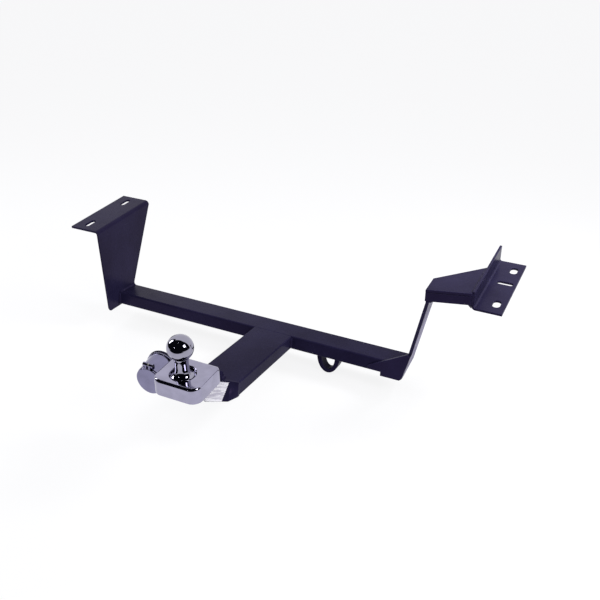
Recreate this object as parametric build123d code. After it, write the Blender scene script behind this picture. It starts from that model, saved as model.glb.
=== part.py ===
from build123d import *
import math
import os

os.makedirs("parts", exist_ok=True)

# Frame: the origin is the centre of the coupling ball, +X runs along the cross beam,
# +Y points towards the vehicle and +Z points up. Lengths are millimetres.

# Coupling ball
ball_d = 50.0
neck_d = 28.5
neck_waist_d = 26.0
neck_foot_slope = 0.35
neck_top_slope = 0.12
base_d = 44.0
base_h = 7.0
base_drop = 66.0
shank_d = 22.0
shank_end = 3.0
thread_fit = 0.05
hole_play = 0.5

# Nut and washers under the ball plate
washer_d = 42.0
washer_t = 4.0
spring_washer_d = 36.0
spring_washer_t = 4.5
spring_washer_gap = 3.0
nut_width = 32.0
nut_h = 18.0
nut_crown = 1.6
nut_chamfer = 2.0

# Chrome cover
cover_left = 47.0
cover_right = 52.0
cover_front = 38.2
cover_back = 48.0
cover_rise = 10.0
cover_h = 33.9
cover_wall = 2.2
cover_front_r = 20.0
cover_back_r = 8.0
cover_top_r = 6.5
recess_d = 50.0

# Ball plate and riser
plate_t = 12.0
plate_play = 3.0
riser_t = 20.0
riser_seat = 20.0
riser_setback = 4.0
riser_root = 17.0
riser_depth = 33.0
riser_back = 42.0
riser_back_drop = 8.0
riser_heel_h = 15.0
riser_heel_in = 8.0
riser_tail = 45.0
riser_gap = 1.5

# Cross beam, a rectangular tube tilted towards the ball
beam_front_y = 347.5
beam_drop = 169.2
beam_tilt = 7.0
beam_w = 61.0
beam_h = 31.0
beam_wall = 3.0
beam_corner_r = 4.0

# Tongue and its nose
tongue_w = 94.5
tongue_l = 231.0
tongue_reach = 2.0
tongue_wall = 4.0
tongue_corner_r = 3.0
nose_side_top = 2.0
nose_side_bottom = 6.0
nose_shoulder_top = 6.0
nose_shoulder_bottom = 30.5
nose_tip_top = 15.0
nose_tip_bottom = 53.0
nose_shoulder_top_w = 62.0
nose_shoulder_bottom_w = 78.8
nose_wall = 4.0
label_w = 56.5
label_t = 0.4
label_glue = 0.05
label_top_margin = 2.0
label_foot_margin = 0.6
nose_lean_share = 1.3

# Welds
weld_leg = 5.0

# Left bracket
left_web_x = 420.3
flange_rise = 12.4
bracket_t = 4.8
bend_r = 4.0
left_flange_w = 75.7
left_flange_front = 44.5
left_flange_l = 197.7
left_web_toe = 40.0
left_web_toe_cut = 7.0
left_slot_w = 12.0
left_slot_l = 33.0
left_slot_front = 31.9
left_slot_back = 32.8
left_slot_inset = 46.7

# Right bracket: a bent flange, a box arm and a leaning plate down to the beam
right_leg_x = 444.4
right_leg_h = 34.8
right_flange_w = 55.4
right_flange_front = 12.0
right_flange_l = 217.0
right_slot_w = 15.0
right_slot_l = 27.0
right_slot_front = 34.6
right_slot_back = 35.4
right_slot_inset = 36.7
middle_slot_w = 12.0
middle_slot_l = 33.0
middle_slot_y = 122.0
middle_slot_inset = 32.6
arm_t = 7.0
arm_foot_x = 310.7
arm_lean = 13.8
arm_foot_w = 57.0
arm_foot_rise = 19.0
arm_foot_cut = 5.0
arm_foot_below = 2.0
bar_h = 20.0
bar_w = 50.0
bar_wall = 4.0
bar_front = 38.0
bar_skew = 22.0
bar_overhang = 2.4
top_plate_t = 6.0
top_plate_drop = 2.2
top_plate_back = 117.0

# Gusset on the front of the beam at its right end
gusset_t = 6.0
gusset_l = 78.0
gusset_rise = 30.0
gusset_heel = 18.0
gusset_toe_l = 48.0
gusset_toe_drop = 4.5
gusset_corner_cut = 5.0
gusset_toe_rise = 5.0

# Safety chain loop under the beam
loop_x = 134.0
loop_w = 54.0
loop_drop = 41.5
loop_side_t = 11.0
loop_bottom_t = 7.5
loop_bar_w = 24.0
loop_set_back = 12.0

# Electrical socket
socket_x = 84.9
socket_z = 104.5
socket_y = 8.5
socket_l = 44.5
socket_front_d = 58.5
socket_back_d = 68.0
rim_d = 72.0
rim_t = 3.0
bore_d = 49.0
bore_l = 20.0
chamber_d = 40.0
socket_back_t = 4.0
insert_t = 10.0
insert_fit = 0.05
pin_fit = 0.03
pin_d = 4.0
pin_reach = 8.0
pin_tail = 9.0
pin_circle_d = 24.0
pin_count = 6
terminal_d = 3.0
terminal_l = 3.5
terminal_inset = 3.0
gasket_t = 2.0
gland_d = 18.0
gland_bore = 9.0
gland_l = 9.0
gland_collar_d = 25.0
gland_collar_t = 3.0

# Socket lid and its hinge
lid_d = 56.5
lid_t = 3.5
lid_gap = 0.3
lid_edge_r = 1.5
seal_t = 1.7
seal_w = 2.2
seal_gap = 0.3
hinge_rise = 34.6
hinge_set_back = 2.0
hinge_w = 22.0
knuckle_d = 8.0
ear_l = 5.0
ear_foot = 2.5
lid_knuckle_l = 3.0
lid_arm_root = 3.0
hinge_gap = 0.3
hinge_pin_d = 4.0
hinge_fit = 0.05
spring_wire = 0.7
spring_turns = 3.5
spring_play = 0.35

# Socket bracket and its screws
socket_bracket_t = 3.0
socket_bracket_d = 74.0
socket_arm_h = 24.0
socket_arm_drop = 7.0
socket_leg_l = 32.0
bracket_screw_d = 8.0
bracket_screw_depth = 14.0
bracket_screw_spacing = 15.0
bracket_screw_edge = 10.0
bracket_head_w = 13.0
bracket_head_h = 5.3
socket_screw_d = 5.0
socket_screw_depth = 10.0
socket_screw_circle_d = 54.0
socket_screw_count = 3
socket_head_d = 9.0
socket_head_h = 3.2

# Levels and places that follow from the sizes above
floor_top = -base_drop
floor_bottom = floor_top - cover_wall
cover_top = floor_top + cover_rise
cover_bottom = cover_top - cover_h
plate_top = floor_bottom
plate_bottom = plate_top - plate_t
washer_bottom = plate_bottom - washer_t
spring_washer_bottom = washer_bottom - spring_washer_t
nut_bottom = spring_washer_bottom - nut_h
shank_bottom = nut_bottom - shank_end
flange_top = flange_rise
web_x = -left_web_x
leg_top = flange_top + right_leg_h
top_plate_top = leg_top - top_plate_drop
bar_top = top_plate_top - top_plate_t
bar_bottom = bar_top - bar_h
lean = math.tan(math.radians(arm_lean))
tilt_sin = math.sin(math.radians(beam_tilt))
tilt_cos = math.cos(math.radians(beam_tilt))
beam_bottom = -beam_drop - beam_h * tilt_cos
beam_plane = Plane((0, beam_front_y, -beam_drop), x_dir=(1, 0, 0), z_dir=(0, tilt_sin, tilt_cos))
beam_frame = beam_plane.location
leg_inner_x = right_leg_x - bracket_t
arm_slope_t = arm_t / math.cos(math.radians(arm_lean))
lid_front = socket_y - lid_gap - lid_t
socket_end = socket_y + socket_l
gasket_end = socket_end + gasket_t
bracket_end = gasket_end + socket_bracket_t
hinge_y = socket_y + hinge_set_back
hinge_z = -socket_z + hinge_rise
riser_toe = tongue_l + nose_tip_top - riser_setback
riser_heel = riser_toe - riser_root
bracket_screw_z = -socket_z - socket_arm_drop


# Shared shapes

def block(x0, x1, y0, y1, z0, z1):
    return Pos((x0 + x1) / 2, (y0 + y1) / 2, (z0 + z1) / 2) * Box(x1 - x0, y1 - y0, z1 - z0)


def outline_along_x(points, x0, x1):
    face = make_face(Polyline([(x0, y, z) for y, z in points], close=True))
    return extrude(face, amount=x1 - x0, dir=(1, 0, 0))


def outline_along_y(points, y0, y1):
    face = make_face(Polyline([(x, y0, z) for x, z in points], close=True))
    return extrude(face, amount=y1 - y0, dir=(0, 1, 0))


def outline_along_z(points, z0, z1):
    face = make_face(Polyline([(x, y, z0) for x, y in points], close=True))
    return extrude(face, amount=z1 - z0, dir=(0, 0, 1))


def cylinder_x(d, x0, x1, y, z):
    return Pos((x0 + x1) / 2, y, z) * Rot(0, 90, 0) * Cylinder(d / 2, x1 - x0)


def cylinder_y(d, x, y0, y1, z):
    return Pos(x, (y0 + y1) / 2, z) * Rot(90, 0, 0) * Cylinder(d / 2, y1 - y0)


def cylinder_z(d, x, y, z0, z1):
    return Pos(x, y, (z0 + z1) / 2) * Cylinder(d / 2, z1 - z0)


def slot_z(x, y, length, width, along_y, z0, z1):
    turn = 90 if along_y else 0
    face = Plane.XY * SlotOverall(length, width, rotation=turn)
    return Pos(x, y, z0) * extrude(face, amount=z1 - z0)


def tube_along_x(x0, x1, y0, z1, width, height, corner_r, wall):
    centre = Pos(x0, y0 + width / 2, z1 - height / 2)
    outer = Plane.YZ * RectangleRounded(width, height, corner_r)
    inner = Plane.YZ * Rectangle(width - 2 * wall, height - 2 * wall)
    return centre * (extrude(outer, amount=x1 - x0) - extrude(inner, amount=x1 - x0))


def tube_along_y(x_mid, y0, y1, z1, width, height, corner_r, wall):
    centre = Pos(x_mid, y1, z1 - height / 2)
    outer = Plane.XZ * RectangleRounded(width, height, corner_r)
    inner = Plane.XZ * Rectangle(width - 2 * wall, height - 2 * wall)
    return centre * (extrude(outer, amount=y1 - y0) - extrude(inner, amount=y1 - y0))


def arm_outer_x(z):
    return arm_foot_x + lean * (z - beam_bottom)


def beam_face_y(z):
    """The y of the tilted plane through the beam's front face at a height z."""
    return beam_front_y + (z + beam_drop) * tilt_sin / tilt_cos


def save(shape, name):
    export_step(shape, f"parts/{name}.step")


# Ball, cover, plate and riser

def tow_ball():
    ball_r = ball_d / 2
    neck_r = neck_d / 2
    neck_top = -math.sqrt(ball_r ** 2 - neck_r ** 2)
    base_top = floor_top + base_h
    waist = (neck_top + base_top) / 2
    profile = (
        Line((0, ball_r), (0, shank_bottom))
        + Line((0, shank_bottom), (shank_d / 2, shank_bottom))
        + Line((shank_d / 2, shank_bottom), (shank_d / 2, floor_top))
        + Line((shank_d / 2, floor_top), (base_d / 2, floor_top))
        + Line((base_d / 2, floor_top), (base_d / 2, base_top))
        + Spline((base_d / 2, base_top), (neck_waist_d / 2, waist), (neck_r, neck_top),
                 tangents=((-1, neck_foot_slope), (neck_top_slope, 1)))
        + ThreePointArc((neck_r, neck_top), (ball_r, 0), (0, ball_r))
    )
    return revolve(Plane.XZ * make_face(profile), axis=Axis.Z)


def cover_block(inset, z0, z1):
    left = -cover_left + inset
    right = cover_right - inset
    front = -cover_front + inset
    back = cover_back - inset
    corners = [(left, front), (right, front), (right, back), (left, back)]
    solid = outline_along_z(corners, z0, z1)
    uprights = solid.edges().filter_by(Axis.Z).sort_by(Axis.Y)
    solid = fillet(uprights[:2], cover_front_r - inset)
    uprights = solid.edges().filter_by(Axis.Z).sort_by(Axis.Y)
    solid = fillet(uprights[-2:], cover_back_r - inset)
    rim = solid.faces().sort_by(Axis.Z)[-1].edges()
    return fillet(rim, cover_top_r - inset)


def chrome_cover():
    shell = cover_block(0, cover_bottom, cover_top)
    shell -= cover_block(cover_wall, cover_bottom, cover_top - cover_wall)
    cup = cylinder_z(recess_d + 2 * cover_wall, 0, 0, floor_bottom, cover_top - cover_wall)
    shell += cup
    shell -= cylinder_z(recess_d, 0, 0, floor_top, cover_top)
    return shell - cylinder_z(shank_d + 2 * hole_play, 0, 0, floor_bottom, floor_top)


def ball_plate():
    left = -cover_left + cover_wall + plate_play
    right = cover_right - cover_wall - plate_play
    front = -cover_front + cover_wall + plate_play
    back = cover_back - cover_wall - plate_play
    corners = [(left, front), (right, front), (right, back), (left, back)]
    plate = outline_along_z(corners, plate_bottom, plate_top)
    uprights = plate.edges().filter_by(Axis.Z).sort_by(Axis.Y)
    plate = fillet(uprights[:2], cover_front_r - cover_wall)
    return plate - cylinder_z(shank_d + 2 * hole_play, 0, 0, plate_bottom, plate_top)


def flat_washer():
    ring = cylinder_z(washer_d, 0, 0, washer_bottom, plate_bottom)
    return ring - cylinder_z(shank_d + hole_play, 0, 0, washer_bottom, plate_bottom)


def spring_washer():
    ring = cylinder_z(spring_washer_d, 0, 0, spring_washer_bottom, washer_bottom)
    ring -= cylinder_z(shank_d + hole_play, 0, 0, spring_washer_bottom, washer_bottom)
    half = spring_washer_gap / 2
    return ring - block(-half, half, -spring_washer_d, 0, spring_washer_bottom, washer_bottom)


def ball_nut():
    hexagon = RegularPolygon(nut_width / 2, 6, major_radius=False)
    nut = Pos(0, 0, nut_bottom) * extrude(hexagon, amount=nut_h)
    crown = cylinder_z(nut_width + 2 * nut_crown, 0, 0, nut_bottom, spring_washer_bottom)
    crown = chamfer(crown.edges(), nut_chamfer)
    bore = cylinder_z(shank_d + 2 * thread_fit, 0, 0, nut_bottom, spring_washer_bottom)
    return nut & crown - bore


def on_tongue(u, depth):
    """The (y, z) of a point u in front of the beam and depth below the tongue's top plane."""
    y = beam_front_y - u * tilt_cos - depth * tilt_sin
    z = -beam_drop + u * tilt_sin - depth * tilt_cos
    return y, z


def riser():
    back_y = cover_back - cover_wall - plate_play
    seat_y = back_y - riser_seat
    low = beam_h - tongue_wall
    outline = [
        (seat_y, plate_bottom),
        (back_y, plate_bottom),
        (back_y, cover_bottom - riser_gap),
        (back_y + riser_back, cover_bottom - riser_back_drop),
        on_tongue(riser_heel + riser_heel_in, -riser_heel_h),
        on_tongue(riser_heel, 0),
        on_tongue(riser_heel, tongue_wall),
        on_tongue(riser_heel - riser_tail, tongue_wall),
        on_tongue(riser_heel - riser_tail, low),
        on_tongue(riser_toe, low),
        on_tongue(riser_toe, 0),
        (seat_y, plate_bottom - riser_depth),
    ]
    plate = outline_along_x(outline, -riser_t / 2, riser_t / 2)
    return plate - bracket_screw_places(bracket_screw_d + 2 * thread_fit, -riser_t / 2,
                                        -riser_t / 2 + bracket_screw_depth)


def riser_slot():
    """The notch that lets the riser into the top wall of the tongue and of its nose."""
    return block(-riser_t / 2, riser_t / 2, -riser_toe, -riser_heel, -tongue_wall, 0)


# Beam, tongue and nose

def cross_beam():
    tube = tube_along_x(web_x, arm_outer_x(0), 0, 0, beam_w, beam_h, beam_corner_r, beam_wall)
    return beam_frame * tube - beyond_arm()


def beyond_arm():
    """Everything on the outer side of the leaning plate's inner face."""
    low = beam_bottom - beam_h
    far = leg_inner_x
    points = [
        (arm_outer_x(low) - arm_slope_t, low),
        (far, low),
        (far, bar_bottom),
        (arm_outer_x(bar_bottom) - arm_slope_t, bar_bottom),
    ]
    return outline_along_y(points, beam_front_y - beam_w, beam_front_y + 2 * beam_w)


def tongue():
    tube = tube_along_y(0, -tongue_l, tongue_reach, 0, tongue_w, beam_h, tongue_corner_r,
                        tongue_wall)
    section = Plane.YZ * RectangleRounded(beam_w, beam_h, beam_corner_r)
    beam_solid = Pos(-tongue_w, beam_w / 2, -beam_h / 2) * extrude(section, amount=2 * tongue_w)
    return beam_frame * (tube - beam_solid - riser_slot())


def nose_layer(depth, grow):
    """The nose's outline at a depth below the tongue's top plane, grown outwards."""
    share = depth / beam_h
    half = tongue_w / 2 + grow
    shoulder_w = nose_shoulder_top_w + share * (nose_shoulder_bottom_w - nose_shoulder_top_w)
    shoulder_half = shoulder_w / 2 + grow
    side = nose_side_top + share * (nose_side_bottom - nose_side_top)
    shoulder = nose_shoulder_top + share * (nose_shoulder_bottom - nose_shoulder_top)
    tip = nose_tip_top + share * (nose_tip_bottom - nose_tip_top)
    ahead = nose_lean_share * grow
    root = -tongue_l + 2 * abs(grow)
    points = [
        (-half, root),
        (-half, -tongue_l - side - ahead),
        (-shoulder_half, -tongue_l - shoulder - ahead),
        (0, -tongue_l - tip - ahead),
        (shoulder_half, -tongue_l - shoulder - ahead),
        (half, -tongue_l - side - ahead),
        (half, root),
    ]
    return make_face(Polyline([(x, y, -depth) for x, y in points], close=True))


def nose_block(grow, skin):
    return loft([nose_layer(beam_h - skin, grow), nose_layer(skin, grow)], ruled=True)


def tongue_nose():
    shell = nose_block(0, 0) - nose_block(-nose_wall, nose_wall)
    return beam_frame * (shell - riser_slot())


def identification_label():
    skin = nose_block(label_glue + label_t, 0) - nose_block(label_glue, 0)
    half = label_w / 2
    front = -tongue_l - nose_tip_bottom - 2 * label_t
    window = block(-half, half, front, -tongue_l - label_top_margin, -beam_h + label_foot_margin,
                   -label_top_margin)
    return beam_frame * (skin & window)


# Left bracket

def left_web_outline():
    front = beam_front_y - left_flange_front
    back = front + left_flange_l
    outer_r = bend_r + bracket_t
    back_foot = beam_front_y + beam_w * tilt_cos
    return [
        (front, flange_top),
        (front, flange_top - outer_r),
        (beam_front_y - left_web_toe - left_web_toe_cut / 2, beam_bottom + left_web_toe_cut),
        (beam_front_y - left_web_toe, beam_bottom),
        (back_foot - beam_h * tilt_sin, beam_bottom - beam_w * tilt_sin),
        (back_foot, -beam_drop),
        (back, flange_top - outer_r),
        (back, flange_top),
    ]


def left_bracket():
    low = beam_bottom - beam_w
    outer_r = bend_r + bracket_t
    bend_x = web_x - outer_r
    bend_z = flange_top - outer_r
    front = beam_front_y - left_flange_front
    back = front + left_flange_l
    flange_end = web_x - left_flange_w
    sheet = block(web_x - bracket_t, web_x, front, back, low, bend_z)
    sheet += block(flange_end, bend_x, front, back, flange_top - bracket_t, flange_top)
    bend = cylinder_y(2 * outer_r, bend_x, front, back, bend_z)
    bend -= cylinder_y(2 * bend_r, bend_x, front, back, bend_z)
    sheet += bend & block(bend_x, web_x, front, back, bend_z, flange_top)
    sheet &= outline_along_x(left_web_outline(), flange_end, web_x)
    for y in (front + left_slot_front, back - left_slot_back):
        sheet -= slot_z(web_x - left_slot_inset, y, left_slot_l, left_slot_w, True,
                        flange_top - bracket_t, flange_top)
    return sheet


# Right bracket, box arm and leaning plate

def right_flange_bracket():
    outer_r = bend_r + bracket_t
    front = beam_front_y - right_flange_front
    back = front + right_flange_l
    bend_x = right_leg_x + bend_r
    bend_z = flange_top + bend_r
    flange_end = right_leg_x + right_flange_w
    sheet = block(leg_inner_x, right_leg_x, front, back, bend_z, leg_top)
    sheet += block(bend_x, flange_end, front, back, flange_top - bracket_t, flange_top)
    bend = cylinder_y(2 * outer_r, bend_x, front, back, bend_z)
    bend -= cylinder_y(2 * bend_r, bend_x, front, back, bend_z)
    sheet += bend & block(leg_inner_x, bend_x, front, back, flange_top - bracket_t, bend_z)
    for y in (front + right_slot_front, back - right_slot_back):
        sheet -= slot_z(right_leg_x + right_slot_inset, y, right_slot_l, right_slot_w, True,
                        flange_top - bracket_t, flange_top)
    sheet -= slot_z(right_leg_x + middle_slot_inset, front + middle_slot_y, middle_slot_l,
                    middle_slot_w, False, flange_top - bracket_t, flange_top)
    return sheet


def bar_left_x():
    return arm_outer_x(bar_bottom) - arm_slope_t - bar_overhang


def bar_plan(back_left, back_right, inset):
    left = bar_left_x()
    front = beam_front_y - bar_front
    return [
        (left, front + inset),
        (leg_inner_x, front + bar_skew + inset),
        (leg_inner_x, front + back_right - inset),
        (left, front + back_left - inset),
    ]


def right_bar():
    outer = outline_along_z(bar_plan(bar_w, bar_w + bar_skew, 0), bar_bottom, bar_top)
    inner = outline_along_z(bar_plan(bar_w, bar_w + bar_skew, bar_wall),
                            bar_bottom + bar_wall, bar_top - bar_wall)
    return outer - inner


def right_top_plate():
    return outline_along_z(bar_plan(bar_w, top_plate_back + bar_skew, 0), bar_top, top_plate_top)


def right_arm():
    foot = beam_bottom - arm_foot_below
    slab = outline_along_y(
        [
            (arm_outer_x(foot) - arm_slope_t, foot),
            (arm_outer_x(foot), foot),
            (arm_outer_x(bar_bottom), bar_bottom),
            (arm_outer_x(bar_bottom) - arm_slope_t, bar_bottom),
        ],
        beam_front_y - 2 * bar_front, beam_front_y + 2 * arm_foot_w)
    gusset_top = -beam_drop + gusset_rise * tilt_cos
    outline = [
        (beam_face_y(foot + arm_foot_cut), foot + arm_foot_cut),
        (beam_face_y(gusset_top), gusset_top),
        (beam_front_y - bar_front, bar_bottom),
        (beam_front_y - bar_front + bar_w, bar_bottom),
        (beam_front_y + arm_foot_w, foot + arm_foot_rise),
        (beam_face_y(foot) + arm_foot_cut, foot),
    ]
    wide = outline_along_x(outline, arm_foot_x - beam_w, leg_inner_x)
    return slab & wide


def right_gusset():
    outer = arm_foot_x
    toe = outer - gusset_toe_l
    low = -beam_h - gusset_toe_drop
    points = [
        (outer - gusset_l, -gusset_heel),
        (outer + lean * (gusset_rise + beam_h) - arm_slope_t, gusset_rise),
        (outer + lean * (gusset_rise + beam_h - gusset_corner_cut),
         gusset_rise - gusset_corner_cut),
        (outer + lean * (beam_h + low + gusset_corner_cut), low + gusset_corner_cut),
        (outer - gusset_corner_cut, low),
        (toe, low),
        (toe, -beam_h + gusset_toe_rise),
        (outer - gusset_l, -beam_h + gusset_toe_rise),
    ]
    return beam_frame * outline_along_y(points, -gusset_t, 0)


# Safety chain loop

def loop_shape(half, drop, y0, y1):
    """Half an oval that hangs from the beam's underside."""
    lower = Pos(0, -loop_drop / 2) * Rectangle(loop_w, loop_drop)
    return Pos(loop_x, y1, -beam_h) * extrude(Plane.XZ * (Ellipse(half, drop) & lower), amount=y1 - y0)


def safety_chain_loop():
    y0 = loop_set_back
    y1 = loop_set_back + loop_bar_w
    outer = loop_shape(loop_w / 2, loop_drop, y0, y1)
    eye = loop_shape(loop_w / 2 - loop_side_t, loop_drop - loop_bottom_t, y0, y1)
    return beam_frame * (outer - eye)


# Weld beads

def bead_along_y(y0, y1, x, z, side_x, side_z):
    points = [(x, z), (x + side_x * weld_leg, z), (x, z + side_z * weld_leg)]
    return outline_along_y(points, y0, y1)


def bead_along_z(z0, z1, x, y, side_x, side_y):
    points = [(x, y), (x + side_x * weld_leg, y), (x, y + side_y * weld_leg)]
    return outline_along_z(points, z0, z1)


def tongue_weld():
    half = tongue_w / 2
    low = -beam_h + beam_corner_r
    beads = bead_along_z(low, -beam_corner_r, half, 0, 1, -1)
    beads += bead_along_z(low, -beam_corner_r, -half, 0, -1, -1)
    return beam_frame * beads


def left_web_weld():
    outer = Plane.YZ * RectangleRounded(beam_w + 2 * weld_leg, beam_h + 2 * weld_leg,
                                        beam_corner_r + weld_leg)
    inner = Plane.YZ * RectangleRounded(beam_w, beam_h, beam_corner_r)
    ring = extrude(outer, amount=weld_leg, taper=45) - extrude(inner, amount=weld_leg)
    placed = beam_frame * Pos(web_x, beam_w / 2, -beam_h / 2) * ring
    return placed & outline_along_x(left_web_outline(), web_x, web_x + weld_leg)


def riser_weld():
    half = riser_t / 2
    beads = bead_along_y(-riser_toe, -riser_heel, half, 0, 1, 1)
    beads += bead_along_y(-riser_toe, -riser_heel, -half, 0, -1, 1)
    return beam_frame * beads


# Electrical socket

def socket_housing():
    front_r = socket_front_d / 2
    back_r = socket_back_d / 2
    rim_y = socket_l - rim_t
    profile = make_face(Polyline(
        (0, 0, 0), (front_r, 0, 0), (back_r, rim_y, 0), (rim_d / 2, rim_y, 0),
        (rim_d / 2, socket_l, 0), (0, socket_l, 0), close=True))
    body = Pos(-socket_x, socket_y, -socket_z) * revolve(profile, axis=Axis.Y)
    body -= cylinder_y(bore_d, -socket_x, socket_y, socket_y + bore_l, -socket_z)
    body -= cylinder_y(chamber_d, -socket_x, socket_y, socket_end - socket_back_t, -socket_z)
    body -= cylinder_y(gland_d, -socket_x, socket_y, socket_end, -socket_z)
    body += hinge_ears()
    return body - socket_screw_places(socket_screw_d + 2 * thread_fit,
                                      socket_end - socket_screw_depth, socket_end)


def hinge_ears():
    ears = None
    for side in (-1, 1):
        x0 = -socket_x + side * hinge_w / 2
        x1 = x0 - side * ear_l
        low, high = min(x0, x1), max(x0, x1)
        ear = cylinder_x(knuckle_d, low, high, hinge_y, hinge_z)
        foot_y = hinge_y + knuckle_d / 2
        ear += block(low, high, socket_y, foot_y, -socket_z + bore_d / 2 + ear_foot, hinge_z)
        ear -= cylinder_x(hinge_pin_d + 2 * hinge_fit, low, high, hinge_y, hinge_z)
        ears = ear if ears is None else ears + ear
    return ears


def hinge_pin():
    half = hinge_w / 2
    return cylinder_x(hinge_pin_d, -socket_x - half, -socket_x + half, hinge_y, hinge_z)


def socket_lid():
    disc = cylinder_y(lid_d, -socket_x, lid_front, lid_front + lid_t, -socket_z)
    disc = fillet(disc.edges().sort_by(Axis.Y)[0], lid_edge_r)
    inner = hinge_w / 2 - ear_l - hinge_gap
    arms = None
    for side in (-1, 1):
        x0 = -socket_x + side * inner
        x1 = x0 - side * lid_knuckle_l
        low, high = min(x0, x1), max(x0, x1)
        arm = cylinder_x(knuckle_d, low, high, hinge_y, hinge_z)
        arm += block(low, high, lid_front + lid_edge_r, lid_front + lid_t,
                     -socket_z + lid_d / 2 - lid_arm_root, hinge_z)
        arm -= cylinder_x(hinge_pin_d + 2 * hinge_fit, low, high, hinge_y, hinge_z)
        arms = arm if arms is None else arms + arm
    return disc + arms


def lid_seal():
    outer = bore_d - 2 * seal_gap
    y0 = lid_front + lid_t
    ring = cylinder_y(outer, -socket_x, y0, y0 + seal_t, -socket_z)
    return ring - cylinder_y(outer - 2 * seal_w, -socket_x, y0, y0 + seal_t, -socket_z)


def lid_spring():
    room = hinge_w - 2 * (ear_l + hinge_gap + lid_knuckle_l + hinge_gap)
    height = room - spring_wire
    radius = hinge_pin_d / 2 + spring_play + spring_wire / 2
    path = Helix(pitch=height / spring_turns, height=height, radius=radius)
    section = Plane(path @ 0, z_dir=path % 0) * Circle(spring_wire / 2)
    coil = sweep(section, path=path)
    return Pos(-socket_x - height / 2, hinge_y, hinge_z) * Rot(0, 90, 0) * coil


def pin_places():
    places = [(0.0, 0.0)]
    for n in range(pin_count):
        angle = 2 * math.pi * n / pin_count + math.pi / 2
        places.append((pin_circle_d / 2 * math.cos(angle), pin_circle_d / 2 * math.sin(angle)))
    return places


def socket_insert():
    y1 = socket_y + bore_l
    y0 = y1 - insert_t
    disc = cylinder_y(bore_d - 2 * insert_fit, -socket_x, y0, y1, -socket_z)
    for x, z in pin_places():
        disc -= cylinder_y(pin_d + 2 * pin_fit, -socket_x + x, y0, y1, -socket_z + z)
    return disc


def contact_pins():
    y1 = socket_y + bore_l + pin_tail
    y0 = socket_y + bore_l - insert_t - pin_reach
    pins = [cylinder_y(pin_d, -socket_x + x, y0, y1, -socket_z + z) for x, z in pin_places()]
    return Compound(children=pins)


def terminal_screws():
    y = socket_y + bore_l + pin_tail - terminal_inset
    screws = []
    for x, z in pin_places():
        z0 = -socket_z + z + pin_d / 2
        screws.append(cylinder_z(terminal_d, -socket_x + x, y, z0, z0 + terminal_l))
    return Compound(children=screws)


def socket_gasket():
    ring = cylinder_y(rim_d, -socket_x, socket_end, gasket_end, -socket_z)
    ring -= cylinder_y(gland_d, -socket_x, socket_end, gasket_end, -socket_z)
    return ring - socket_screw_places(socket_screw_d + 2 * thread_fit, socket_end, gasket_end)


def cable_gland():
    y0 = socket_end - socket_back_t
    y1 = bracket_end + gland_collar_t
    tube = cylinder_y(gland_d, -socket_x, y0, y1 + gland_l, -socket_z)
    tube += cylinder_y(gland_collar_d, -socket_x, bracket_end, y1, -socket_z)
    return tube - cylinder_y(gland_bore, -socket_x, y0, y1 + gland_l, -socket_z)


def socket_bracket():
    plate = cylinder_y(socket_bracket_d, -socket_x, gasket_end, bracket_end, -socket_z)
    riser_x = -riser_t / 2
    arm_top = bracket_screw_z + socket_arm_h / 2
    arm_low = bracket_screw_z - socket_arm_h / 2
    plate += block(-socket_x, riser_x, gasket_end, bracket_end, arm_low, arm_top)
    plate += block(riser_x - socket_bracket_t, riser_x, gasket_end, gasket_end + socket_leg_l,
                   arm_low, arm_top)
    plate -= cylinder_y(gland_d, -socket_x, gasket_end, bracket_end, -socket_z)
    plate -= socket_screw_places(socket_screw_d + 2 * thread_fit, gasket_end, bracket_end)
    return plate - bracket_screw_places(bracket_screw_d + 2 * thread_fit,
                                        riser_x - socket_bracket_t, riser_x)


def socket_screw_places(d, y0, y1):
    places = []
    for n in range(socket_screw_count):
        angle = 2 * math.pi * n / socket_screw_count - math.pi / 2
        x = -socket_x + socket_screw_circle_d / 2 * math.cos(angle)
        z = -socket_z + socket_screw_circle_d / 2 * math.sin(angle)
        places.append(cylinder_y(d, x, y0, y1, z))
    return Compound(children=places)


def socket_screws():
    y0 = socket_end - socket_screw_depth
    shanks = socket_screw_places(socket_screw_d, y0, bracket_end)
    heads = socket_screw_places(socket_head_d, bracket_end, bracket_end + socket_head_h)
    return joined_pairs(shanks, heads)


def bracket_screw_places(d, x0, x1):
    places = []
    for n in range(2):
        y = gasket_end + bracket_screw_edge + n * bracket_screw_spacing
        places.append(cylinder_x(d, x0, x1, y, bracket_screw_z))
    return Compound(children=places)


def bracket_screws():
    face = -riser_t / 2 - socket_bracket_t
    shanks = bracket_screw_places(bracket_screw_d, face, -riser_t / 2 + bracket_screw_depth)
    heads = bracket_screw_places(bracket_head_w, face - bracket_head_h, face)
    return joined_pairs(shanks, heads)


def joined_pairs(shanks, heads):
    """Each shank made one solid with its own head."""
    return Compound(children=[a + b for a, b in zip(shanks.solids(), heads.solids())])


# Every sub-part by its name

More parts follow.
